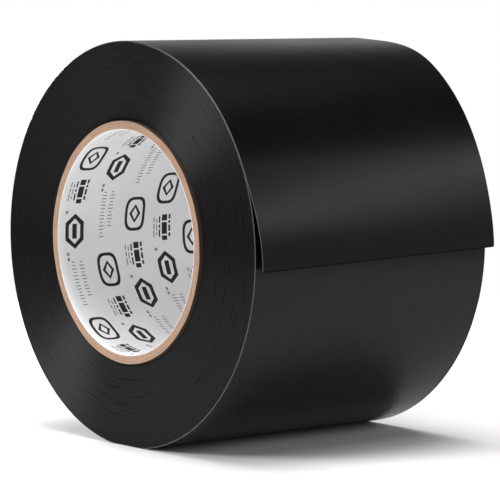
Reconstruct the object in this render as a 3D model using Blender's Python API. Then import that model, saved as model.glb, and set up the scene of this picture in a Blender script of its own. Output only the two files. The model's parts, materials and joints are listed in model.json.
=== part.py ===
"""A wide roll of black PVC electrical tape on a paper core, standing on its rim.

The roll's axis runs along +Y and its printed-core face looks along -Y. +Z is up, and the
origin is the middle of the narrow flat that the soft roll stands on. Angles are measured
about the roll's axis from +X towards +Z, so 90 degrees is the top of the roll. The core is
pushed a little out of the front face, and the soft tape sags, so the core sits a little high.

The tape is one continuous spiral. Its wound part is one solid, and its loose end is a
chain of short stiff lengths, each folding on the straight line where it meets the one
before it. Every length has a film and, under it, its coat of adhesive.
"""

import math

import bmesh
import bpy
from mathutils import Vector

MM = 0.001

# The tape
TAPE_WIDTH = 50.8 * MM
TAPE_THICKNESS = 0.13 * MM
ADHESIVE_THICKNESS = 0.025 * MM
LAYER_GAP = 0.01 * MM
FILM_THICKNESS = TAPE_THICKNESS - ADHESIVE_THICKNESS - 2 * LAYER_GAP

# The roll
ROLL_RADIUS = 34.5 * MM
STAND_HALF_WIDTH = 4.6 * MM
AXIS_HEIGHT = math.sqrt(ROLL_RADIUS**2 - STAND_HALF_WIDTH**2)
FACETS = 96
FACET_ANGLE = 360 / FACETS

# The core
CORE_BORE_RADIUS = 19.05 * MM
CORE_WALL = 1.6 * MM
LINER_THICKNESS = 0.12 * MM
GLUE_LINE = 0.03 * MM
CORE_PROUD = 0.5 * MM
CORE_AXIS_HEIGHT = AXIS_HEIGHT + 0.5 * MM
KRAFT_PLIES = ("core_ply_inner", "core_ply_middle", "core_ply_outer")
PLY_THICKNESS = (CORE_WALL - LINER_THICKNESS) / len(KRAFT_PLIES) - GLUE_LINE

# The loose end: whole facets down to 0 degrees, and then a cut end that isn't quite square
TAIL_LENGTHS = 8
FACETS_PER_LENGTH = 3
TAIL_ROOT_ANGLE = 86.25
CUT_ANGLE = {"front": -2.7, "back": -0.4}
FOLD_GAP = 0.02 * MM

# How far the loose end stands off the roll: (angle, lift) at the turns of each edge's curve
EDGE_LIFT = {
    "front": ((26.0, 0.0), (-6.0, 1.85 * MM)),
    "back": ((TAIL_ROOT_ANGLE, 0.0), (56.0, 2.2 * MM), (17.0, 1.6 * MM), (-8.0, 2.2 * MM)),
}
EDGE_Y = {"front": -TAPE_WIDTH / 2, "back": TAPE_WIDTH / 2}


def clear_scene():
    """Start from an empty scene."""
    for obj in list(bpy.data.objects):
        bpy.data.objects.remove(obj, do_unlink=True)


def plain_material(name, colour, roughness):
    """A Principled material of one colour."""
    material = bpy.data.materials.new(name)
    material.use_nodes = True
    shader = material.node_tree.nodes["Principled BSDF"]
    shader.inputs["Base Color"].default_value = (*colour, 1.0)
    shader.inputs["Roughness"].default_value = roughness
    shader.inputs["Metallic"].default_value = 0.0
    return material


def add_object(name, bm, material, origin=Vector()):
    """Turn a bmesh into an object whose origin is moved to the given point."""
    bmesh.ops.translate(bm, verts=bm.verts, vec=-origin)
    mesh = bpy.data.meshes.new(name)
    bm.to_mesh(mesh)
    bm.free()
    mesh.shade_smooth()
    mesh.set_sharp_from_angle(angle=math.radians(30))
    mesh.materials.append(material)
    obj = bpy.data.objects.new(name, mesh)
    obj.location = origin
    bpy.context.collection.objects.link(obj)
    return obj


def polar_point(radius, angle, y, axis_height=AXIS_HEIGHT):
    """The point at this radius and angle about the roll's axis, or about the core's."""
    turn = math.radians(angle)
    return Vector((radius * math.cos(turn), y, axis_height + radius * math.sin(turn)))


def add_core_tube(name, inner_radius, outer_radius, material):
    """A tube on the core's axis, a little proud in front: its wall's section spun right round."""
    bm = bmesh.new()
    front = EDGE_Y["front"] - CORE_PROUD
    back = EDGE_Y["back"] - CORE_PROUD
    corners = ((inner_radius, front), (outer_radius, front), (outer_radius, back), (inner_radius, back))
    section = [bm.verts.new(polar_point(radius, 0, y, CORE_AXIS_HEIGHT)) for radius, y in corners]
    edges = [bm.edges.new((section[i - 1], section[i])) for i in range(len(section))]
    bmesh.ops.spin(
        bm,
        geom=section + edges,
        cent=(0, 0, CORE_AXIS_HEIGHT),
        axis=(0, -1, 0),
        angle=math.tau,
        steps=FACETS,
        use_merge=True,
    )
    bmesh.ops.remove_doubles(bm, verts=bm.verts, dist=0.001 * MM)
    bmesh.ops.recalc_face_normals(bm, faces=bm.faces)
    return add_object(name, bm, material)


def build_core():
    """The printed paper liner and the kraft plies wound over it. Returns the core's radius."""
    paper = plain_material("printed_paper", (0.62, 0.62, 0.64), 0.6)
    kraft = plain_material("kraft_board", (0.45, 0.27, 0.17), 0.85)
    radius = CORE_BORE_RADIUS + LINER_THICKNESS
    add_core_tube("core_liner", CORE_BORE_RADIUS, radius, paper)
    for name in KRAFT_PLIES:
        inner_radius = radius + GLUE_LINE
        radius = inner_radius + PLY_THICKNESS
        add_core_tube(name, inner_radius, radius, kraft)
    return radius


def spiral_radius(angle):
    """The outer surface of the outermost tape, which drops by one thickness in each turn."""
    return ROLL_RADIUS - TAPE_THICKNESS * (angle - TAIL_ROOT_ANGLE) / 360


def pack_radius(angle):
    """The wound tape's outline, pressed flat where it stands."""
    depth = -math.sin(math.radians(angle))
    radius = spiral_radius(angle)
    return AXIS_HEIGHT / depth if radius * depth > AXIS_HEIGHT else radius


def build_pack(core_radius):
    """The wound tape: a spiral outline with the end of its last turn as a small step."""
    bm = bmesh.new()
    front = EDGE_Y["front"]
    angles = [TAIL_ROOT_ANGLE + i * FACET_ANGLE for i in range(FACETS + 1)]
    outer = [bm.verts.new(polar_point(pack_radius(angle), angle, front)) for angle in angles]
    bore = core_radius + GLUE_LINE
    inner = [bm.verts.new(polar_point(bore, angle, front, CORE_AXIS_HEIGHT)) for angle in angles[:-1]]
    last_turn_end, first_turn_end = outer[0], outer[-1]
    bm.faces.new((inner[0], inner[1], outer[1], last_turn_end, first_turn_end))
    for i in range(1, FACETS):
        bm.faces.new((inner[i], inner[(i + 1) % FACETS], outer[i + 1], outer[i]))
    face_region = bmesh.ops.extrude_face_region(bm, geom=list(bm.faces))
    moved = [item for item in face_region["geom"] if isinstance(item, bmesh.types.BMVert)]
    bmesh.ops.translate(bm, verts=moved, vec=(0, TAPE_WIDTH, 0))
    bmesh.ops.recalc_face_normals(bm, faces=bm.faces)
    black_pvc = plain_material("wound_pvc", (0.016, 0.016, 0.017), 0.45)
    return add_object("wound_tape", bm, black_pvc)


def edge_lift(edge, angle):
    """The stand-off of one edge of the loose end, eased between its curve's turning points."""
    points = EDGE_LIFT[edge]
    if angle >= points[0][0]:
        return points[0][1]
    for (start_angle, start_lift), (end_angle, end_lift) in zip(points, points[1:]):
        if angle >= end_angle:
            share = (start_angle - angle) / (start_angle - end_angle)
            return start_lift + (end_lift - start_lift) * (1 - math.cos(math.pi * share)) / 2
    return points[-1][1]


def tail_point(edge, station, depth):
    """A point of the loose end, this far under its outer surface, at a whole-facet station."""
    angle = TAIL_ROOT_ANGLE - station * FACET_ANGLE
    if station == TAIL_LENGTHS * FACETS_PER_LENGTH:
        angle = CUT_ANGLE[edge]
    radius = spiral_radius(angle) + edge_lift(edge, angle) - depth
    return polar_point(radius, angle, EDGE_Y[edge])


def add_tail_layer(name, number, top_depth, bottom_depth, material, fold):
    """One layer of one length of the loose end, a thin curved plate between two folds."""
    first = (number - 1) * FACETS_PER_LENGTH
    corners = (("front", top_depth), ("back", top_depth), ("back", bottom_depth), ("front", bottom_depth))
    rows = []
    for station in range(first, first + FACETS_PER_LENGTH + 1):
        rows.append([tail_point(edge, station, depth) for edge, depth in corners])
    trim = FOLD_GAP / 2 / (ROLL_RADIUS * math.radians(FACET_ANGLE))
    rows[0] = [start.lerp(after, trim) for start, after in zip(rows[0], rows[1])]
    rows[-1] = [end.lerp(before, trim) for end, before in zip(rows[-1], rows[-2])]
    bm = bmesh.new()
    loops = [[bm.verts.new(point) for point in row] for row in rows]
    for near, far in zip(loops, loops[1:]):
        front_top, back_top, back_under, front_under = near
        far_front_top, far_back_top, far_back_under, far_front_under = far
        # The plate is slightly twisted: its top and underside share one diagonal to stay parallel
        bm.faces.new((front_top, far_back_top, back_top))
        bm.faces.new((front_top, far_front_top, far_back_top))
        bm.faces.new((front_under, back_under, far_back_under))
        bm.faces.new((front_under, far_back_under, far_front_under))
        bm.faces.new((front_under, far_front_under, far_front_top, front_top))
        bm.faces.new((back_under, back_top, far_back_top, far_back_under))
    bm.faces.new(loops[0])
    bm.faces.new(reversed(loops[-1]))
    return add_object(name, bm, material, origin=fold)


def build_tail():
    """The loose end's lengths, each with its origin on the middle of its fold line."""
    gloss_pvc = plain_material("gloss_pvc", (0.016, 0.016, 0.018), 0.3)
    adhesive = plain_material("rubber_adhesive", (0.01, 0.01, 0.01), 0.15)
    adhesive_depth = FILM_THICKNESS + LAYER_GAP
    for number in range(1, TAIL_LENGTHS + 1):
        station = (number - 1) * FACETS_PER_LENGTH
        front = tail_point("front", station, 0)
        back = tail_point("back", station, 0)
        fold = (front + back) / 2
        add_tail_layer(f"tail_film_{number}", number, 0, FILM_THICKNESS, gloss_pvc, fold)
        add_tail_layer(
            f"tail_adhesive_{number}",
            number,
            adhesive_depth,
            adhesive_depth + ADHESIVE_THICKNESS,
            adhesive,
            fold,
        )


def main():
    """Build the roll from the core outwards."""
    clear_scene()
    core_radius = build_core()
    build_pack(core_radius)
    build_tail()


main()
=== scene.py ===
# %% [markdown]
# # A wide roll of black tape, standing on its rim
# The real thing is a strip of black PVC film, sticky on one side, wound about a hundred times on a
# paper core, with its cut end hanging a little loose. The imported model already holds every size, hinge
# and body. This lesson makes only what the eye sees: smooth film with a real edge, a side face built
# of real windings, paper plies, printed figures, and the finish of each. Everything is worked out
# from the frame, so it fits with no adjusting.

# %% Load the frame and keep its box
import json
import math

import bmesh
import bpy
import numpy as np
from mathutils import Matrix, Vector


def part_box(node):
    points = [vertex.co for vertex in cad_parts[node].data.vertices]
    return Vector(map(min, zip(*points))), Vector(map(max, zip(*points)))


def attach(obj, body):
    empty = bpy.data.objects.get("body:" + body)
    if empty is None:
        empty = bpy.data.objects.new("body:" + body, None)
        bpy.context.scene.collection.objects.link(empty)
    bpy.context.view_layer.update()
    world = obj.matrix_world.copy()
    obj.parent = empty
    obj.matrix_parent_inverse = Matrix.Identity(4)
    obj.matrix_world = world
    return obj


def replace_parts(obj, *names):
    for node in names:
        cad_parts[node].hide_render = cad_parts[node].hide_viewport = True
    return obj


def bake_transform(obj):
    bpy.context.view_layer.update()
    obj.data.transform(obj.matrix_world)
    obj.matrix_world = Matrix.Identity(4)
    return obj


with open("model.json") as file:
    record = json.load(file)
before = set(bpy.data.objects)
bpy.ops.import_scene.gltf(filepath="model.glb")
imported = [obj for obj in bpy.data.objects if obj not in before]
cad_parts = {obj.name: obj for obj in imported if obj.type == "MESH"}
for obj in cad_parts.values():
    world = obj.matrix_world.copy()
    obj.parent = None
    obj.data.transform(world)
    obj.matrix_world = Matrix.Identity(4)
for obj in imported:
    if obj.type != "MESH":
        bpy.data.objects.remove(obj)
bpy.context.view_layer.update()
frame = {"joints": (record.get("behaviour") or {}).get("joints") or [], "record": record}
MM = 0.001

# %% [markdown]
# ## Sizes off the frame
# A maker measures the part before dressing it. The roll's axis height comes from the mount on its back
# face, its radius from the first fold line of the loose end, and the core from the boxes of its tubes.
# Only what no box can tell, such as the tape's own thickness, is written down as a number.

# %% Measure the roll and its core
mounts = {mount["name"]: mount for mount in frame["record"]["mounts"]}
folds = [Vector(joint["pos_m"]) for joint in frame["joints"]]
AXIS_HEIGHT = mounts["back_face"]["pos_m"][2]
root = folds[0] - Vector((0, 0, AXIS_HEIGHT))
ROLL_RADIUS = round(root.length, 5)
ROOT_ANGLE = round(math.degrees(math.atan2(root.z, root.x)), 2)
FRONT_Y, BACK_Y = (corner.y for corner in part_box("wound_tape"))
HALF_WIDTH = BACK_Y
TAPE = 0.13 * MM
FILM = 0.085 * MM
ADHESIVE = 0.025 * MM
GAP = 0.01 * MM


def tube_size(node):
    """The outer radius, axis height, front and back of a tube that lies along Y."""
    low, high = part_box(node)
    return (high.x - low.x) / 2, (high.z + low.z) / 2, low.y, high.y


CORE_RADIUS, CORE_HEIGHT, CORE_FRONT, CORE_BACK = tube_size("core_ply_outer")
print(f"roll radius {ROLL_RADIUS / MM:.2f} mm, core radius {CORE_RADIUS / MM:.2f} mm")
print(f"the loose end starts at {ROOT_ANGLE} degrees")

# %% [markdown]
# ## The camera
# A long lens a little over the roll's middle keeps both rims nearly the same size. The camera looks
# back along a direction given by an azimuth and an elevation, so it needs no aiming constraint: its
# axes are written straight into its matrix. Its distance is counted in roll radii.

# %% Place the camera
CAMERA_AZIMUTH, CAMERA_ELEVATION = math.radians(50.763), math.radians(5.109)
CAMERA_DISTANCE, CAMERA_RIGHT, CAMERA_DOWN = 14.591, 0.0357, 0.0635
LENS_PER_SENSOR = 5.774
SENSOR = 36.0
FARTHEST_SEEN = 20

away = Vector(
    (
        math.sin(CAMERA_AZIMUTH) * math.cos(CAMERA_ELEVATION),
        -math.cos(CAMERA_AZIMUTH) * math.cos(CAMERA_ELEVATION),
        math.sin(CAMERA_ELEVATION),
    )
)
across = (-away).cross(Vector((0, 0, 1))).normalized()
upward = across.cross(-away)
eye = away * CAMERA_DISTANCE + across * CAMERA_RIGHT - upward * CAMERA_DOWN
camera = bpy.data.objects.new("camera", bpy.data.cameras.new("camera"))
camera.data.sensor_width = SENSOR
camera.data.lens = SENSOR * LENS_PER_SENSOR
camera.data.clip_end = FARTHEST_SEEN
camera.matrix_world = Matrix.Translation(Vector((0, 0, AXIS_HEIGHT)) + eye * ROLL_RADIUS) @ (
    Matrix((across, upward, away)).transposed().to_4x4()
)
bpy.context.scene.collection.objects.link(camera)
bpy.context.scene.camera = camera
bpy.context.scene.view_settings.view_transform = "Standard"
print(f"camera {eye.length * ROLL_RADIUS:.3f} m away, lens {camera.data.lens:.1f} mm")

# %% [markdown]
# ## Node kit
# Every finish is a small tree of nodes. One helper adds a node and fills its sockets by name, from
# numbers or from other nodes' outputs, which keeps each material down to a few readable lines.


# %% Helpers for node trees
def add_node(tree, kind, settings=None, **inputs):
    """A shader node: settings are its own properties, and inputs its sockets by name."""
    node = tree.nodes.new("ShaderNode" + kind)
    for name, value in (settings or {}).items():
        setattr(node, name, value)
    for name, value in inputs.items():
        number = name.removeprefix("in_")
        socket = node.inputs[int(number) if number.isdigit() else name.replace("_", " ")]
        if isinstance(value, bpy.types.NodeSocket):
            tree.links.new(value, socket)
        else:
            socket.default_value = value
    return node


def maths(tree, operation, first, second=0.0):
    """One step of arithmetic on sockets or numbers."""
    return add_node(tree, "Math", {"operation": operation}, in_0=first, in_1=second).outputs[0]


def noise(tree, vector, scale, detail=2.0, rough=0.5):
    """Grey noise over a vector, with its scale in features per metre."""
    node = add_node(tree, "TexNoise", Vector=vector, Scale=scale, Detail=detail, Roughness=rough)
    return node.outputs[0]


def spread(tree, value, low, high, start=0.3, end=0.7):
    """A value stretched so that start gives low and end gives high. Noise gathers from 0.3 to 0.7."""
    node = add_node(
        tree, "MapRange", Value=value, From_Min=start, From_Max=end, To_Min=low, To_Max=high
    )
    return node.outputs[0]


def place(tree):
    """The point on the object, in metres."""
    return add_node(tree, "TexCoord").outputs["Object"]


def distance_off_axis(tree, spot, height):
    """How far a point is from a line along Y at the given height."""
    from_axis = add_node(tree, "VectorMath", {"operation": "SUBTRACT"}, in_0=spot, in_1=(0, 0, height))
    flat = add_node(
        tree, "VectorMath", {"operation": "MULTIPLY"}, in_0=from_axis.outputs[0], in_1=(1, 0, 1)
    )
    return add_node(tree, "VectorMath", {"operation": "LENGTH"}, in_0=flat.outputs[0]).outputs["Value"]


print("node kit ready")

# %% [markdown]
# ## Material kit
# All finishes here are one shader, Principled, with its own colour, roughness and relief. These three
# helpers start such a material, mix two colours for it, and give it relief in metres.


# %% Helpers for materials
def finish(name, colour, roughness):
    """A Principled material: returns it with its tree and its shader."""
    material = bpy.data.materials.new(name)
    material.use_nodes = True
    tree = material.node_tree
    shader = tree.nodes["Principled BSDF"]
    shader.inputs["Base Color"].default_value = (*colour, 1.0)
    shader.inputs["Roughness"].default_value = roughness
    return material, tree, shader


def mix(tree, factor, first, second):
    """Two colours mixed by a factor."""
    node = add_node(tree, "MixRGB", Fac=factor)
    for socket, colour in zip(node.inputs[1:], (first, second)):
        if isinstance(colour, bpy.types.NodeSocket):
            tree.links.new(colour, socket)
        else:
            socket.default_value = (*colour, 1.0)
    return node.outputs[0]


def bump(tree, shader, height, distance, strength=1.0):
    """Relief on a shader: height from 0 to 1, over a distance in metres."""
    node = add_node(tree, "Bump", Height=height, Distance=distance, Strength=strength)
    tree.links.new(node.outputs[0], shader.inputs["Normal"])


print("material kit ready")

# %% [markdown]
# ## The room
# Black gloss shows nothing but its surroundings, so where light comes from matters more than how much
# of it there is. An even grey room would lay a veil over the film. So this one glows only near the
# horizon, fades to nothing overhead, and is weaker on the side that the printed core faces. The camera
# alone sees the room as plain white, like a backdrop lit from behind.

# %% Room
ROOM_LOW, ROOM_HIGH, ROOM_FRONT = 0.56, 0.0, 0.2
FADE_UPWARDS, FADE_BACKWARDS = (0.2, 0.75), (-0.1, 0.3)

world = bpy.data.worlds.new("studio")
bpy.context.scene.world = world
world.use_nodes = True
room = world.node_tree
direction = add_node(room, "TexCoord").outputs["Generated"]
split = add_node(room, "SeparateXYZ", Vector=direction).outputs
height_glow = spread(room, split["Z"], ROOM_LOW, ROOM_HIGH, *FADE_UPWARDS)
side_glow = spread(room, split["Y"], ROOM_FRONT, 1.0, *FADE_BACKWARDS)
room_glow = maths(room, "MULTIPLY", height_glow, side_glow)
backdrop = room.nodes["Background"]
backdrop.inputs["Color"].default_value = (1, 1, 1, 1)
seen = add_node(room, "LightPath").outputs["Is Camera Ray"]
room.links.new(maths(room, "MAXIMUM", room_glow, seen), backdrop.inputs["Strength"])
print("room ready")

# %% [markdown]
# ## The lights
# Each light has one job. Two suns straight overhead, a broad one and a narrower one, lay the soft
# shadow and draw the two sheens across the grooves of the side face. A low key in front lights the
# paper, the kraft and the thin line on the rim. Two long panels on the far side make the one broad
# highlight on the film: the upper is the stronger, so the highlight fades downwards. A weak panel in
# front fills the lower film, and a small lamp low on the left lights the floor under the roll. A single
# large light would be simpler, but black film shows its outline as one hard-edged patch.

# %% Lights
SUN_DISTANCE = 2.0
SUNS = (
    ("overhead", (0, 0, 1), 2.0, 60),
    ("overhead_core", (0, 0, 1), 1.35, 30),
    ("low_front_key", (-0.33, -0.82, 0.47), 2.7, 25),
)
PANELS = (
    ("side_softbox", (0.68, 0.6, 0.36), 1.1, 0.6, (0.7, 0.2)),
    ("side_softbox_top", (0.62, 0.6, 0.46), 1.1, 0.9, (0.7, 0.2)),
    ("front_fill", (0.72, -0.66, 0.3), 1.4, 3, (0.8, 0.8)),
    ("low_left_lamp", (-0.98, 0.05, 0.2), 0.4, 1.3, (0.1, 0.1)),
)


def add_light(name, kind, towards, distance, energy):
    """A light in a given direction from the roll's middle, facing it."""
    lamp = bpy.data.lights.new(name, kind)
    lamp.energy = energy
    light = bpy.data.objects.new(name, lamp)
    ray = Vector(towards).normalized()
    light.location = Vector((0, 0, AXIS_HEIGHT)) + ray * distance
    light.rotation_euler = ray.to_track_quat("Z", "Y").to_euler()
    bpy.context.scene.collection.objects.link(light)
    return lamp


for name, towards, energy, width in SUNS:
    add_light(name, "SUN", towards, SUN_DISTANCE, energy).angle = math.radians(width)
for name, towards, distance, energy, size in PANELS:
    panel = add_light(name, "AREA", towards, distance, energy)
    panel.shape = "RECTANGLE"
    panel.size, panel.size_y = size
print(len(SUNS), "suns and", len(PANELS), "panels placed")

# %% [markdown]
# ## The floor
# A round of pale board, faintly grained, carries the shadow. It could be endless, but the film mirrors
# whatever lies around the roll, and a wide white floor would turn its flanks grey. So the board is
# small. Past its edge the camera sees the white room, and no line shows between them.

# %% Floor
FLOOR_RADIUS = 0.22
FLOOR_TONE = 0.76

board_white, tree, shader = finish("floor_white", (FLOOR_TONE,) * 3, 0.8)
shader.inputs["Specular IOR Level"].default_value = 0.2
bump(tree, shader, noise(tree, place(tree), 900, 3), 0.02 * MM, 0.3)
bpy.ops.mesh.primitive_circle_add(vertices=128, radius=FLOOR_RADIUS, fill_type="NGON")
floor = bpy.context.object
floor.name = "floor"
floor.data.materials.append(board_white)
print(f"floor {2 * FLOOR_RADIUS:.2f} m across")

# %% [markdown]
# ## Skins
# Film, windings, plies and ink are all the same kind of shape: a closed section carried along a path.
# So one helper skins a grid of points whose columns join up in a ring. Its rows either join up too,
# as round a tube, or are capped, as at the ends of a strip. The alternative, curves with a bevel,
# can't change their section along the way.


# %% Helpers that turn grids of points into pieces
def polar(radius, angle, y, height=AXIS_HEIGHT):
    """Points at a radius and an angle in degrees about an axis along Y."""
    turn = np.radians(angle)
    return np.stack(np.broadcast_arrays(radius * np.cos(turn), y, height + radius * np.sin(turn)), -1)


def skin(grid, close_rows=False):
    """Points and faces over a grid [row, column, 3]."""
    index = np.arange(grid.shape[0] * grid.shape[1]).reshape(grid.shape[:2])
    caps = [] if close_rows else [index[0][::-1].tolist(), index[-1].tolist()]
    if close_rows:
        index = np.vstack([index, index[:1]])
    near, far = index[:-1], index[1:]
    quads = np.stack([near, np.roll(near, -1, 1), np.roll(far, -1, 1), far], -1)
    return grid.reshape(-1, 3), quads.reshape(-1, 4).tolist() + caps


def add_piece(name, skins, material):
    """One object from one or more closed skins, with its faces turned outwards."""
    points, faces = [], []
    for skin_points, skin_faces in skins:
        faces += [[corner + len(points) for corner in face] for face in skin_faces]
        points += skin_points.tolist()
    mesh = bpy.data.meshes.new(name)
    mesh.from_pydata(points, [], faces)
    bm = bmesh.new()
    bm.from_mesh(mesh)
    bmesh.ops.recalc_face_normals(bm, faces=bm.faces)
    bm.to_mesh(mesh)
    bm.free()
    mesh.shade_smooth()
    mesh.materials.append(material)
    piece = bpy.data.objects.new(name, mesh)
    bpy.context.scene.collection.objects.link(piece)
    return piece


print("mesh kit ready")

# %% [markdown]
# ## Shared normals
# Gloss gives away the smallest kink, and two pieces that meet end to end show a seam if each works out
# its own normals. Making the film in one piece would avoid it, but it has to bend between nine bodies.
# So the normals come from the surface's own formula, a hair to either side of each point, and every
# piece gets the same ones. The flat caps at the ends keep theirs.

# %% Helpers for shared normals
NUDGE = 0.005


def path_normals(surface, path):
    """Normals of a surface given as a function of places on its path, from its slope both ways."""
    along = surface(path + NUDGE) - surface(path - NUDGE)
    here = surface(path)
    around = np.roll(here, -1, 1) - np.roll(here, 1, 1)
    normals = np.cross(along, around)
    return (normals / np.linalg.norm(normals, axis=2, keepdims=True)).reshape(-1, 3)


def lay_normals(mesh, normals):
    """Give a mesh these normals, one for each point, turned to its outside. Caps stay flat."""
    corners = np.zeros(len(mesh.loops), int)
    mesh.loops.foreach_get("vertex_index", corners)
    wanted = normals[corners]
    for face in mesh.polygons:
        span = slice(face.loop_start, face.loop_start + face.loop_total)
        flat = np.array(face.normal)
        if face.loop_total > 4:
            wanted[span] = flat
        wanted[span] *= np.where(wanted[span] @ flat < 0, -1.0, 1.0)[:, None]
    mesh.normals_split_custom_set(wanted.tolist())


print("normals kit ready")

# %% [markdown]
# ## The film's finish
# PVC tape has a calendered face: nearly smooth, with a soft orange-peel a few tenths of a millimetre
# across and very faint lines along its length from winding. It is a black plastic, so its colour is
# almost nothing and its look is all gloss. The relief is kept far below what the eye can count. Only
# along its two long edges, on the worn corners, is it painted a lighter grey: a painted highlight that
# draws the light line along the rim.

# %% Gloss film
EDGE_WEAR = 0.105 * MM
GLOSS_BLACK, RIM_HIGHLIGHT_GREY = (0.0028, 0.0028, 0.003), (0.09, 0.09, 0.093)

film_black, tree, shader = finish("black_film", GLOSS_BLACK, 0.3)
shader.inputs["Specular IOR Level"].default_value = 0.18
spot = place(tree)
peel = noise(tree, spot, 2600, 3)
lengthwise = add_node(tree, "Mapping", Vector=spot, Scale=(40, 1600, 40)).outputs[0]
lines = noise(tree, lengthwise, 1, 2)
smudge = spread(tree, noise(tree, spot, 70, 4, 0.6), 0.25, 0.3)
tree.links.new(smudge, shader.inputs["Roughness"])
off_middle = maths(tree, "ABSOLUTE", add_node(tree, "SeparateXYZ", Vector=spot).outputs["Y"])
# Painted highlight: the worn corners are a lighter grey, which draws the light line along the rim.
painted_rim_line = maths(tree, "GREATER_THAN", off_middle, HALF_WIDTH - 0.9 * EDGE_WEAR)
tree.links.new(mix(tree, painted_rim_line, GLOSS_BLACK, RIM_HIGHLIGHT_GREY), shader.inputs["Base Color"])
bump(tree, shader, maths(tree, "ADD", peel, lines), 0.0012 * MM)
print("film finish made")

# %% [markdown]
# ## The tape's own section
# Slit tape isn't a sharp-edged ribbon: its top corners are blunted by the knife and worn by handling.
# A bevel modifier would round them evenly, but wear takes more off the top than off the side. So the
# section is a flat strip whose top corners fall away along a flattened curve. This rounding catches
# the lights and draws the light line along the rim, helped by the painted highlight grey that the
# film's finish lays on these corners.

# %% The strip's section
WEAR_POWER = 1.5
WEAR_DEPTH = 0.8
WEAR_POINTS = 7


def strip_section(half_width, top, thickness, wear, columns):
    """A loop of (y, depth) round a strip with worn top corners, whose top lies at this depth."""
    turn = np.linspace(0, np.pi / 2, WEAR_POINTS)
    worn_y = half_width - wear * (1 - np.cos(turn) ** WEAR_POWER)
    worn_depth = WEAR_DEPTH * thickness * (1 - np.sin(turn) ** WEAR_POWER)
    inside = np.linspace(-worn_y[-1], worn_y[-1], columns + 1)[1:-1]
    y = np.concatenate([-worn_y, inside, worn_y[::-1], [half_width], inside[::-1], [-half_width]])
    under = np.full(columns + 1, thickness)
    return y, top + np.concatenate([worn_depth, 0 * inside, worn_depth[::-1], under])


ADHESIVE_INSET = 0.06 * MM
ADHESIVE_WEAR = 0.02 * MM
film_section = strip_section(HALF_WIDTH, 0, FILM, EDGE_WEAR, 20)
adhesive_section = strip_section(HALF_WIDTH - ADHESIVE_INSET, FILM + GAP, ADHESIVE, ADHESIVE_WEAR, 20)
turn_section = strip_section(HALF_WIDTH, 0, TAPE, EDGE_WEAR, 8)
print(f"the film's section has {len(film_section[0])} points")

# %% [markdown]
# ## Where the loose end lies
# The tape is one spiral, so its outside drops by one thickness a turn. Over the loose end each long
# edge also stands off the roll, by an amount that eases between a few turning points: the near edge
# lies flat and lifts only at the cut, and the far edge bows out from the start. A line straight
# across joins the two edges, which is how stiff film bends.

# %% The loose end as a surface
STATIONS = 24
STATION_ANGLE = 3.75
CUT_FROM = 23
CUT_ANGLE = (-2.7, -0.4)
# The turning points of each edge: an angle, and how far off the roll the edge stands there, in mm
FRONT_LIFT = ((26.0, 0.0), (-6.0, 1.85))
BACK_LIFT = ((ROOT_ANGLE, 0.0), (56.0, 2.2), (17.0, 1.6), (-8.0, 2.2))


def spiral_radius(angle):
    """The outside of the outermost tape at an angle."""
    return ROLL_RADIUS - TAPE * (angle - ROOT_ANGLE) / 360


def edge_lift(turning_points, angle):
    """How far an edge stands off, eased by half a cosine from one turning point to the next."""
    angles, lifts = np.array(turning_points)[::-1].T
    run = np.interp(angle, angles, np.arange(len(angles)))
    step = np.minimum(run.astype(int), len(angles) - 2)
    share = (1 - np.cos(np.pi * (run - step))) / 2
    return (lifts[step] + (lifts[step + 1] - lifts[step]) * share) * MM


def loose_end(station, section, pinch=1.0):
    """Points of a (y, depth) section carried along the loose end.

    A station is a place along it. What it has over the last one counts as degrees past the cut.
    """
    y, depth = section
    middle = (depth.min() + depth.max()) / 2
    station = np.asarray(station, float)[:, None]
    share = (y + HALF_WIDTH) / (2 * HALF_WIDTH)
    cut = CUT_ANGLE[0] + (CUT_ANGLE[1] - CUT_ANGLE[0]) * share
    last_step = np.clip(station - CUT_FROM, 0, 1)
    beyond = np.maximum(station - STATIONS, 0)
    angle = ROOT_ANGLE - np.minimum(station, CUT_FROM) * STATION_ANGLE + last_step * cut - beyond
    lift = edge_lift(FRONT_LIFT, angle) * (1 - share) + edge_lift(BACK_LIFT, angle) * share
    sunk = middle + (depth - middle) * np.reshape(pinch, (-1, 1))
    return polar(spiral_radius(angle) + lift - sunk, angle, y)


print("cut end, mm:", (loose_end([STATIONS], film_section)[0, 0] / MM).round(2).tolist())

# %% [markdown]
# ## The adhesive's finish
# The adhesive is a soft black rubber, smoother and duller than the film, and drawn out into fine
# streaks along the tape where it was coated. Stretched noise gives the streaks, and a second, larger
# noise makes its shine uneven.

# %% Adhesive finish
adhesive_black, tree, shader = finish("tacky_adhesive", (0.003, 0.003, 0.003), 0.14)
shader.inputs["Specular IOR Level"].default_value = 0.1
spot = place(tree)
drawn = add_node(tree, "Mapping", Vector=spot, Scale=(500, 2200, 500)).outputs[0]
bump(tree, shader, noise(tree, drawn, 1, 4, 0.6), 0.012 * MM)
tree.links.new(spread(tree, noise(tree, spot, 300, 3), 0.1, 0.22), shader.inputs["Roughness"])
print("adhesive finish made")

# %% [markdown]
# ## Film and adhesive of the loose end
# The loose end bends at eight hinges, but film has no creases. So each piece lies across one hinge,
# from the middle of one length to the middle of the next. The pieces meet with the same normals, so no
# seam shows. Under the film goes its coat of adhesive, a hair narrower, as real coating is. At the cut
# the adhesive reaches a quarter of a millimetre past the film: a dark strip of painted shade for the
# shadow under the lifted cut edge, which gives the cut edge its dark line.

# %% The eight pieces over the hinges
LENGTH_STATIONS = 3
ROWS_PER_STATION = 6
ZONE_MARGIN = 0.2
# In degrees past the cut: how far the adhesive reaches past the film, a dark strip of painted shade
# under the cut edge, and the rows that round off the end, each with the share of the thickness that
# is left there
CUT_SHADE_REACH = 0.42
ROUNDING, ROUNDED_SHARE = np.array([0.02, 0.05, 0.07]), [1, 0.75, 0.3]


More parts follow.
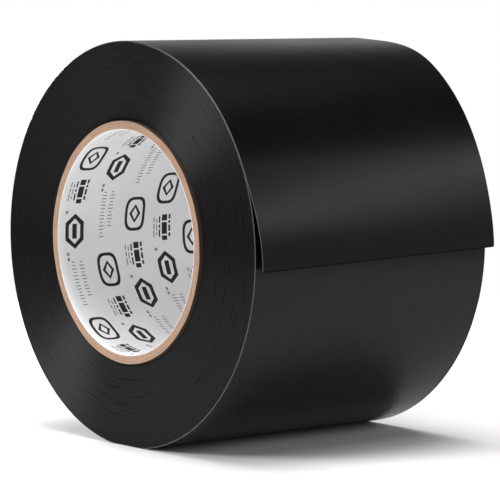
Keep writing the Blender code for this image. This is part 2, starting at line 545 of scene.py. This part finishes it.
def add_bending_piece(number, kind, section, material):
    """The piece over one hinge: number 1 lies across the hinge between the roll and the first length."""
    fold = (number - 1) * LENGTH_STATIONS
    first = max(fold - LENGTH_STATIONS / 2, 0)
    last = STATIONS if number == len(folds) else fold + LENGTH_STATIONS / 2
    station = np.linspace(first, last, round((last - first) * ROWS_PER_STATION) + 1)
    pinch = np.ones(len(station))
    if number == len(folds):
        # The adhesive's reach past the cut is a dark strip of painted shade under the lifted cut edge.
        shade_reach = CUT_SHADE_REACH if kind == "adhesive" else 0
        station = np.append(station, last + shade_reach + ROUNDING)
        pinch = np.append(pinch, ROUNDED_SHARE)

    def surface(path):
        return loose_end(path, section, pinch)

    piece = add_piece(f"loose_{kind}_{number}", [skin(surface(station))], material)
    lay_normals(piece.data, path_normals(surface, station))
    bend_from = first + ZONE_MARGIN if number > 1 else fold
    bend_to = fold + LENGTH_STATIONS / 2 - ZONE_MARGIN
    start, end = (Vector(loose_end([edge], film_section)[0].mean(axis=0)) for edge in (bend_from, bend_to))
    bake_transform(piece)
    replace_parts(piece, f"tail_{kind}_{number}")


for number in range(1, len(folds) + 1):
    add_bending_piece(number, "film", film_section, film_black)
    add_bending_piece(number, "adhesive", adhesive_section, adhesive_black)
print("loose end made of", 2 * len(folds), "bending pieces")

# %% [markdown]
# ## The last whole turn
# This is the same film, stuck down: it starts where the loose end lifts off, goes once round, and ends
# under its own start. The soft roll stands on a narrow flat, so its outline is pressed to the ground
# there. A soft minimum of the two outlines rounds the corners of that flat, as the film does.

# %% The stuck-down turn
FLAT_ROUNDING = 0.15 * MM
NEAR_GROUND = 0.5
TURN_STEPS = 360


def soft_minimum(first, second, reach):
    """The lesser of two radii, rounded off where they cross."""
    share = np.clip(0.5 + 0.5 * (second - first) / reach, 0, 1)
    return second + (first - second) * share - reach * share * (1 - share)


def turn_radius(angle):
    """The outside of the last turn, pressed flat where the roll stands."""
    drop = np.maximum(-np.sin(np.radians(angle)), NEAR_GROUND)
    return soft_minimum(spiral_radius(angle), AXIS_HEIGHT / drop, FLAT_ROUNDING)


def turn_surface(angle):
    """Points of the stuck-down turn at angles round the roll."""
    angle = angle[:, None]
    y, depth = turn_section
    return polar(turn_radius(angle) - depth, angle, y)


turn_angle = np.linspace(ROOT_ANGLE, ROOT_ANGLE + 360, TURN_STEPS + 1)
last_turn = add_piece("last_turn", [skin(turn_surface(turn_angle))], film_black)
lay_normals(last_turn.data, path_normals(turn_surface, turn_angle))
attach(last_turn, "roll")
print("last turn:", len(last_turn.data.polygons), "faces")

# %% [markdown]
# ## The cut edges' finish
# The side of a roll is a hundred knife-cut edges. The knife leaves fine lines round the roll, so it
# shines like a record: in two soft sheens that stand across the grooves. That is anisotropy. Blender
# stretches the highlight along the tangent, so a tangent round the axis is turned by a quarter to lie
# across the grooves. Turns also differ a little in tone and shine, which follows their distance from
# the axis, and dust settles on them.

# %% Cut-edge finish
DARK_TURN, DUSTY_TURN = (0.002, 0.002, 0.0022), (0.006, 0.006, 0.0065)

edge_black, tree, shader = finish("black_cut_edges", DUSTY_TURN, 0.45)
shader.inputs["Specular IOR Level"].default_value = 0.17
shader.inputs["Anisotropic"].default_value = 0.95
shader.inputs["Anisotropic Rotation"].default_value = 0.25
round_axis = add_node(tree, "Tangent", {"direction_type": "RADIAL", "axis": "Y"})
tree.links.new(round_axis.outputs[0], shader.inputs["Tangent"])
spot = place(tree)
turns = maths(tree, "DIVIDE", distance_off_axis(tree, spot, AXIS_HEIGHT), TAPE)
banding = add_node(tree, "TexNoise", {"noise_dimensions": "1D"}, W=turns, Scale=0.45, Detail=3.0).outputs[0]
dust = noise(tree, spot, 900, 4, 0.7)
tone = spread(tree, maths(tree, "MULTIPLY", maths(tree, "ADD", banding, dust), 0.5), 0.0, 1.0)
tree.links.new(mix(tree, tone, DARK_TURN, DUSTY_TURN), shader.inputs["Base Color"])
tree.links.new(spread(tree, banding, 0.42, 0.6), shader.inputs["Roughness"])
bump(tree, shader, noise(tree, spot, 5200, 3), 0.006 * MM)
print("cut-edge finish made")

# %% [markdown]
# ## The pack's outline
# Under the last turn the pack follows the same spiral, one thickness further in, and where the spiral
# closes it makes up that thickness in a short ramp. Its inside is the bore that the core fills. The
# core sits a little high, so that circle is worked out about the roll's own axis.

# %% Inside and outside of the pack
PACK_STEPS = 190
RAMP = 3.0
CORE_GAP = 0.03 * MM

pack_angle = np.linspace(ROOT_ANGLE, ROOT_ANGLE + 360, PACK_STEPS, endpoint=False)
ramp_share = np.clip((pack_angle - ROOT_ANGLE) / RAMP, 0, 1)
pack_outside = turn_radius(pack_angle) - TAPE - GAP / 2 - TAPE * (1 - ramp_share)
pack_turn = np.radians(pack_angle)
core_rise = CORE_HEIGHT - AXIS_HEIGHT
bore = CORE_RADIUS + CORE_GAP
pack_inside = core_rise * np.sin(pack_turn) + np.sqrt(bore**2 - (core_rise * np.cos(pack_turn)) ** 2)
turn_count = int((pack_outside.mean() - pack_inside.mean()) / TAPE)
print("the pack holds", turn_count, "turns under the last one")

# %% [markdown]
# ## How the windings wander
# No turn lies quite level with the next. Tape drifts slowly sideways as it winds, and each turn adds a
# small error of its own. So heights are sums of a few waves round the roll whose strengths are drawn
# at random, and smoothed over neighbouring turns where the drift is slow. A turn here and there sinks
# in for a short arc and leaves a gap, and the first few turns lie in a hollow round the core.

# %% Heights of the windings
SEED = 7
DRIFT_TURNS, TILT_TURNS = 7, 3
DRIFT, TURN_ERROR = 0.007 * MM, 0.008 * MM
DRIFT_TILT, TURN_TILT = 0.003 * MM, 0.004 * MM
GAP_DEPTH, GAP_WAVES = 0.13 * MM, 26
CORE_HOLLOW, HOLLOW_TURNS = 0.22 * MM, 1.2
DEEPEST, FACE_SINK = 0.3 * MM, 0.03 * MM
chance = np.random.default_rng(SEED)


def wander(neighbours, size, waves=5):
    """How far each turn's edge stands out, at every angle, smoothed over this many turns."""
    heights = np.zeros((turn_count, PACK_STEPS))
    for wave in range(waves):
        swing = chance.normal(size=(turn_count + neighbours, 2))
        kernel = np.hanning(neighbours + 2)[1:-1]
        swing = np.stack([np.convolve(part, kernel, "same") for part in swing.T])[:, :turn_count]
        swing /= np.sqrt((kernel**2).sum())
        heights += np.outer(swing[0], np.cos(wave * pack_turn)) + np.outer(swing[1], np.sin(wave * pack_turn))
    return heights * size / math.sqrt(2 * waves)


def side_heights():
    """Heights of every ring edge on one side: two for each turn."""
    level = wander(DRIFT_TURNS, DRIFT) + wander(1, TURN_ERROR)
    tilt = wander(TILT_TURNS, DRIFT_TILT) + wander(1, TURN_TILT)
    gaps = np.clip(wander(1, 1.0, GAP_WAVES) - 1.0, 0, 1) * GAP_DEPTH
    hollow = CORE_HOLLOW * np.exp(-np.arange(turn_count) / HOLLOW_TURNS)[:, None]
    both = np.stack([level - tilt - gaps - hollow, level + tilt - hollow], 1).reshape(-1, PACK_STEPS)
    return np.clip(both, -DEEPEST, FACE_SINK)


front_heights, back_heights = side_heights(), side_heights()
print(f"front windings from {front_heights.min() / MM:.2f} to {front_heights.max() / MM:.2f} mm")

# %% [markdown]
# ## The wound turns
# Each turn is a real ring with an inner and an outer edge at their own heights, and a narrow groove
# to the next. The rings' edges are marked sharp, so each ring takes the light at its own tilt. A bump
# map would look flat from the side and leave the mesh bare, and a hundred separate solids would be a
# hundred pieces that never move apart, so all the rings share one skin.

# %% The wound pack, turn by turn
RING_FROM, RING_TO = 0.1, 0.9

edge_share = (np.arange(turn_count)[:, None] + np.array([RING_FROM, RING_TO])).reshape(-1) / turn_count
edge_share[0], edge_share[-1] = 0, 1
ring_radius = pack_inside + (pack_outside - pack_inside) * edge_share[:, None]
front_side = polar(ring_radius, pack_angle, FRONT_Y + FACE_SINK - front_heights)
back_side = polar(ring_radius, pack_angle, BACK_Y - FACE_SINK + back_heights)
pack_grid = np.concatenate([front_side, back_side[::-1]]).transpose(1, 0, 2)
wound_turns = add_piece("wound_turns", [skin(pack_grid, close_rows=True)], edge_black)
mesh = wound_turns.data
ends = np.zeros(2 * len(mesh.edges), int)
mesh.edges.foreach_get("vertices", ends)
ring_of = ends.reshape(-1, 2) % pack_grid.shape[1]
sharp = mesh.attributes.new("sharp_edge", "BOOLEAN", "EDGE")
sharp.data.foreach_set("value", ring_of[:, 0] == ring_of[:, 1])
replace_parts(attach(wound_turns, "roll"), "wound_tape")
print(turn_count, "turns,", 2 * len(mesh.polygons), "triangles")

# %% [markdown]
# ## The kraft's finish
# Kraft board is brown paper pulp: matt, cloudy at a few millimetres and flecked with darker fibres
# at under one. Two noises at those sizes give both. Where its outer rim meets the black tape the board
# is painted near-black in a thin ragged ring: painted shade for the shadowed gap between core and tape.
# The ring follows the distance from the core's axis.

# %% Kraft finish
RIM_SHADE_WIDTH, RAGGEDNESS = 0.14 * MM, 0.3 * MM
DULL_KRAFT, WARM_KRAFT = (0.36, 0.24, 0.172), (0.42, 0.28, 0.2)
KRAFT_FLECK, KRAFT_RIM_SHADE = (0.24, 0.145, 0.09), (0.05, 0.03, 0.021)

kraft, tree, shader = finish("kraft_board", WARM_KRAFT, 0.85)
shader.inputs["Specular IOR Level"].default_value = 0.25
spot = place(tree)
fibre = noise(tree, spot, 2400, 5, 0.7)
cloud = noise(tree, spot, 260, 3)
warm = mix(tree, spread(tree, cloud, 0, 1), DULL_KRAFT, WARM_KRAFT)
flecked = mix(tree, spread(tree, fibre, 0.0, 0.35), warm, KRAFT_FLECK)
off_axis = distance_off_axis(tree, spot, CORE_HEIGHT)
ragged = maths(tree, "MULTIPLY", maths(tree, "SUBTRACT", cloud, 0.5), RAGGEDNESS)
# Painted shade: a thin ragged ring of near-black where the core's rim meets the tape.
painted_rim_shade = maths(tree, "GREATER_THAN", maths(tree, "ADD", off_axis, ragged), CORE_RADIUS - RIM_SHADE_WIDTH)
tree.links.new(mix(tree, painted_rim_shade, flecked, KRAFT_RIM_SHADE), shader.inputs["Base Color"])
bump(tree, shader, fibre, 0.04 * MM)
print("kraft finish made")

# %% [markdown]
# ## The paper core
# The core is a spiral-wound tube: three kraft plies and a pale printed liner, glued one in the next and
# cut off with a knife. A plain tube would have machined ends. The knife leaves each ply's end slightly
# wavy and its corners soft, so the ends are cut by a slow random wave of each ply's own.

# %% The plies
CORE_STEPS = 192
CUT_WAVES = 30
CUT_WAVINESS = 0.025 * MM
PLY_ROUNDING = 0.06 * MM
GLUE_GAP = 0.02 * MM
core_angle = np.linspace(0, 360, CORE_STEPS, endpoint=False)


def wavy_cut():
    """How far a knife cut strays from flat, all round the core."""
    turn = np.radians(core_angle)
    strength = chance.normal(size=CUT_WAVES) / np.sqrt(np.arange(1, CUT_WAVES + 1))
    shift = chance.uniform(0, 2 * np.pi, CUT_WAVES)
    line = sum(strength[i] * np.cos((i + 1) * turn + shift[i]) for i in range(CUT_WAVES))
    return CUT_WAVINESS * line / np.sqrt((strength**2).sum() / 2)


def ply_grid(inner, outer):
    """A tube's points: its section, with eased corners and wavy cuts, carried round the core."""
    ease = PLY_ROUNDING * (1 - math.sqrt(0.5))
    radii = [inner, inner + ease, inner + PLY_ROUNDING, outer - PLY_ROUNDING, outer - ease, outer]
    sinks = [PLY_ROUNDING, ease, 0, 0, ease, PLY_ROUNDING]
    corners = list(zip(radii, sinks))
    front_cut, back_cut = CORE_FRONT + wavy_cut(), CORE_BACK - wavy_cut()
    rings = [polar(radius, core_angle, front_cut + sink, CORE_HEIGHT) for radius, sink in corners]
    rings += [polar(radius, core_angle, back_cut - sink, CORE_HEIGHT) for radius, sink in corners[::-1]]
    return np.stack(rings, 1)


LINER_OUTSIDE = tube_size("core_liner")[0]
inner_radius = LINER_OUTSIDE + GLUE_GAP
for node in ("core_ply_inner", "core_ply_middle", "core_ply_outer"):
    outer_radius = tube_size(node)[0]
    grid = ply_grid(inner_radius, outer_radius)
    ply = add_piece(node.replace("core", "kraft"), [skin(grid, close_rows=True)], kraft)
    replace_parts(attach(ply, "roll"), node)
    inner_radius = outer_radius + GLUE_GAP
print("three kraft plies made")

# %% [markdown]
# ## The paper's finish
# The liner is a pale grey label paper, matt, with a felt of fibres and slightly uneven tone. Felt is
# noise at half a millimetre, kept faint in both colour and relief, and the tone is noise at a
# centimetre.

# %% Paper finish
GREY_PAPER, PALE_PAPER, PAPER_FIBRE = (0.8, 0.8, 0.81), (0.86, 0.86, 0.865), (0.6, 0.6, 0.62)

paper, tree, shader = finish("printed_paper", PALE_PAPER, 0.6)
spot = place(tree)
felt = noise(tree, spot, 1800, 5, 0.6)
blotch = noise(tree, spot, 120, 3)
tint = mix(tree, spread(tree, blotch, 0, 1), GREY_PAPER, PALE_PAPER)
tree.links.new(mix(tree, spread(tree, felt, 0, 0.1), tint, PAPER_FIBRE), shader.inputs["Base Color"])
bump(tree, shader, felt, 0.01 * MM)
print("paper finish made")

# %% [markdown]
# ## The liner
# A thin sheet lines the bore. It isn't perfectly round: paper takes small dents from the board under
# it, which give it its faint uneven tone. A displacement on a finished tube would do that too, but the
# print has to follow the same dents, so one function makes them for the paper and for the ink.

# %% The liner
LINER_ROWS = 40
LINER_THICKNESS = 0.12 * MM
LINER_DENT = 0.02 * MM
DENT_DRIFT, FINE_DENT_DRIFT = 11 * MM, 6 * MM
END_MARGIN = 0.05 * MM
LIP, LIP_PROUD = 0.06 * MM, 0.02 * MM
BORE_RADIUS = LINER_OUTSIDE - LINER_THICKNESS


def liner_radius(angle, y):
    """The paper's inner face, with its slight dents."""
    turn = np.radians(angle)
    dents = np.sin(3 * turn + y / DENT_DRIFT) + np.sin(7 * turn - y / FINE_DENT_DRIFT) * 0.6
    return BORE_RADIUS + LINER_DENT * dents


liner_y = np.linspace(CORE_FRONT + END_MARGIN, CORE_BACK - END_MARGIN, LINER_ROWS)
inside = [polar(liner_radius(core_angle, y), core_angle, y, CORE_HEIGHT) for y in liner_y]
front_lip = polar(BORE_RADIUS + LIP, core_angle, CORE_FRONT - LIP_PROUD, CORE_HEIGHT)
back_lip = polar(BORE_RADIUS + LIP, core_angle, CORE_BACK, CORE_HEIGHT)
outside = [polar(LINER_OUTSIDE, core_angle, y, CORE_HEIGHT) for y in (CORE_BACK, CORE_FRONT)]
liner_grid = np.stack([front_lip, *inside, back_lip, *outside], 1)
liner = add_piece("paper_liner", [skin(liner_grid, close_rows=True)], paper)
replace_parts(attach(liner, "roll"), "core_liner")
print("liner made")

# %% [markdown]
# ## The inks' finish
# Flexographic ink soaks into paper and wears through in specks where it is thin. Fine noise mixes the
# ink's own colour with a lighter one, hardly at all in the heavy black and more in the thin grey.

# %% Ink finish
# For each ink: its plain colour and roughness, how worn it is from least to most, and its colours
# where it is full and where it is worn
INKS = {
    "printing_ink": ((0.012, 0.012, 0.014), 0.6, (0.0, 0.08), (0.009, 0.009, 0.011), (0.25, 0.25, 0.26)),
    "thin_grey_ink": ((0.16, 0.16, 0.17), 0.55, (0.1, 0.6), (0.1, 0.1, 0.11), (0.42, 0.42, 0.43)),
}


def ink_finish(name):
    """An ink with its wear: returns its material and its shader."""
    colour, roughness, wear_share, full, worn = INKS[name]
    ink, tree, shader = finish(name, colour, roughness)
    wear = spread(tree, noise(tree, place(tree), 5000, 4, 0.7), *wear_share)
    tree.links.new(mix(tree, wear, full, worn), shader.inputs["Base Color"])
    return ink, shader


black_ink, shader = ink_finish("printing_ink")
shader.inputs["Specular IOR Level"].default_value = 0.2
grey_ink, _ = ink_finish("thin_grey_ink")
print("inks made")

# %% [markdown]
# ## Drawing with ink
# Print is often a picture wrapped round a tube, but that needs an image. Here each figure is a thin
# slab of ink laid on the paper: it is drawn flat, in millimetres along and across its lane, and then
# wrapped onto the bore. Long bars have enough steps to follow the curve.

# %% Ink tools
INK_HEIGHT = 0.012 * MM
INK_STEP = 0.45
DASH_GAP = 0.3
MOST_POLYGON_CORNERS = 8


def ink_slab(near, far, ring):
    """A strip of ink between two lines of (along, across) points in mm, as a thin closed slab."""
    edges = [near, near, far, far]
    lifts = [-0.3, 1, 1, -0.3]
    columns = []
    for line, lift in zip(edges, lifts):
        along, across_bore = np.array(line, float).T * MM
        angle = np.degrees(along / BORE_RADIUS)
        radius = liner_radius(angle, across_bore) - lift * INK_HEIGHT
        columns.append(polar(radius, angle, across_bore, CORE_HEIGHT))
    return skin(np.stack(columns, 1), close_rows=ring)


def bar(along, y, length, height):
    """A straight bar of ink."""
    run = np.linspace(along, along + length, max(2, math.ceil(length / INK_STEP) + 1))
    low, high = y - height / 2, y + height / 2
    return ink_slab([(a, low) for a in run], [(a, high) for a in run], False)


def dashes(along, y, lengths, height):
    """A row of dashes."""
    row = []
    for length in lengths:
        row.append(bar(along, y, length, height))
        along += length + DASH_GAP
    return row


def outline(along, y, length, height, corners, line, power):
    """A closed band of ink: a rounded box, or a polygon when it has few corners."""
    turn = np.linspace(0, 2 * np.pi, corners, endpoint=False)
    c, s = np.cos(turn), np.sin(turn)
    shape = np.stack([np.sign(c) * abs(c) ** power, np.sign(s) * abs(s) ** power], 1)
    loops = []
    for inset in (0, line):
        half = np.array([length / 2 - inset, height / 2 - inset])
        loop = shape * half + (along, y)
        if corners <= MOST_POLYGON_CORNERS:
            steps = np.linspace(0, 1, 6, endpoint=False)[:, None]
            sides = zip(loop, np.roll(loop, -1, 0))
            loop = np.concatenate([start + (end - start) * steps for start, end in sides])
        loops.append(loop)
    return ink_slab(loops[0], loops[1], True)


print("ink tools ready")

# %% [markdown]
# ## The print
# The liner is printed all over in lanes that run round the bore, each shifted against the next. The
# figures are plain shapes that say nothing: a rounded outline with a lozenge, a heavy hexagon with a
# bar, a block of bars, and rows of dashes. All black figures make one piece and all grey dashes
# another, because print is one layer on the paper and not a set of parts.

# %% Laying out the lanes
LANE_PITCH = 6.5
REPEAT, REPEATS = 34.1, 3
FIRST_LANE = FRONT_Y / MM + 3.0
LANE_STARTS = (10.5, 32.4, 22.7, 18.1, 27.5, 6.8, 15.0)
TICK_PITCH, TICK = 0.62, 0.17


def one_repeat(along, y):
    """The figures of one repeat of a lane, in mm: heavy ones and thin grey ones."""
    heavy = [
        outline(along, y, 6.2, 4.4, 40, 0.55, 0.6),
        outline(along, y, 3.4, 2.5, 4, 0.6, 1.0),
        bar(along + 5.1, y + 0.25, 1.1, 1.15),
        bar(along + 6.5, y + 0.25, 2.1, 1.15),
        bar(along + 8.9, y + 0.25, 0.8, 1.15),
        outline(along + 14.7, y, 6.2, 4.5, 6, 0.85, 1.0),
        bar(along + 13.4, y, 2.6, 0.95),
    ]
    heavy += dashes(along + 5.1, y + 1.35, (0.8, 0.5, 1.1, 0.7), 0.4)
    heavy += dashes(along + 5.4, y - 0.85, (1.2, 0.6, 1.3), 0.3)
    thin = dashes(along + 5.9, y - 1.5, (0.7, 1.1, 0.5), 0.22)
    thin += dashes(along + 5.5, y - 2.1, (0.9, 0.9, 1.2), 0.22)
    thin += dashes(along + 11.0, y - 1.9, (0.5,), 0.5)
    thin += dashes(along + 18.4, y - 1.6, (0.6, 0.6), 0.45)
    for row, ticks in ((0.95, 11), (-0.75, 14)):
        for tick in range(ticks):
            height = 0.95 if tick % 3 else 0.6
            thin.append(bar(along + 20.0 + tick * TICK_PITCH, y + row, TICK, height))
    return heavy, thin


heavy_figures, thin_figures = [], []
for lane, start in enumerate(LANE_STARTS):
    for repeat in range(REPEATS):
        heavy, thin = one_repeat(start + repeat * REPEAT, FIRST_LANE + lane * LANE_PITCH)
        heavy_figures += heavy
        thin_figures += thin
prints = (("printed_figures", heavy_figures, black_ink), ("printed_dashes", thin_figures, grey_ink))
for name, slabs, material in prints:
    printed = add_piece(name, slabs, material)
    printed.data.set_sharp_from_angle(angle=math.radians(40))
    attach(printed, "roll")
print("printed", len(heavy_figures) + len(thin_figures), "slabs of ink")
